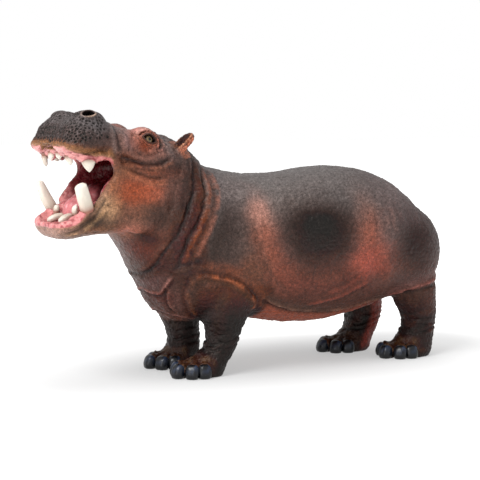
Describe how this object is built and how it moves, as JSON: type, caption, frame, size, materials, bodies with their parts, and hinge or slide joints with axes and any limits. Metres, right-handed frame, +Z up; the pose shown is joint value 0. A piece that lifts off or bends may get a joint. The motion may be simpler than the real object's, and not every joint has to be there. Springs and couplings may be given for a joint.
{
  "type": "hippopotamus toy figure",
  "caption": "Painted solid vinyl toy figure of a standing hippopotamus with its mouth wide open, head turned slightly to its left, tusks and nails painted apart.",
  "frame": {"origin": "middle of the figure's box, on the floor under it", "axes": "+X towards the tail (the figure faces -X), -Y towards its left side, +Z up"},
  "size_m": [0.1576, 0.0516, 0.0915],
  "materials": {
    "skin_body": "matt painted vinyl, grey-brown with dark and salmon patches, leathery grain",
    "skin_head": "matt painted vinyl, grey muzzle, reddish cheeks",
    "skin_legs": "matt painted vinyl, dark brown",
    "mouth": "satin pink paint",
    "tooth": "satin ivory paint",
    "nail": "satin slate blue-black paint",
    "eye": "gloss paint, dark with an olive-brown iris"
  },
  "bodies": {
    "root": {"head": "skin_head", "lower_jaw": "skin_head", "neck": "skin_body", "trunk": "skin_body", "tail": "skin_body", "leg_front_left": "skin_legs", "leg_front_right": "skin_legs", "leg_hind_left": "skin_legs", "leg_hind_right": "skin_legs", "ear_left": "skin_head", "ear_right": "skin_head", "eye_left": "eye", "eye_right": "eye", "tongue": "mouth", "tusk_lower_left": "tooth", "tusk_lower_right": "tooth", "tusk_upper_left": "tooth", "tusk_upper_right": "tooth", "nail_front_left_1": "nail", "nail_front_left_2": "nail", "nail_front_left_3": "nail", "nail_front_left_4": "nail", "nail_front_right_1": "nail", "nail_front_right_2": "nail", "nail_front_right_3": "nail", "nail_front_right_4": "nail", "nail_hind_left_1": "nail", "nail_hind_left_2": "nail", "nail_hind_left_3": "nail", "nail_hind_left_4": "nail", "nail_hind_right_1": "nail", "nail_hind_right_2": "nail", "nail_hind_right_3": "nail", "nail_hind_right_4": "nail"}
  },
  "joints": []
}
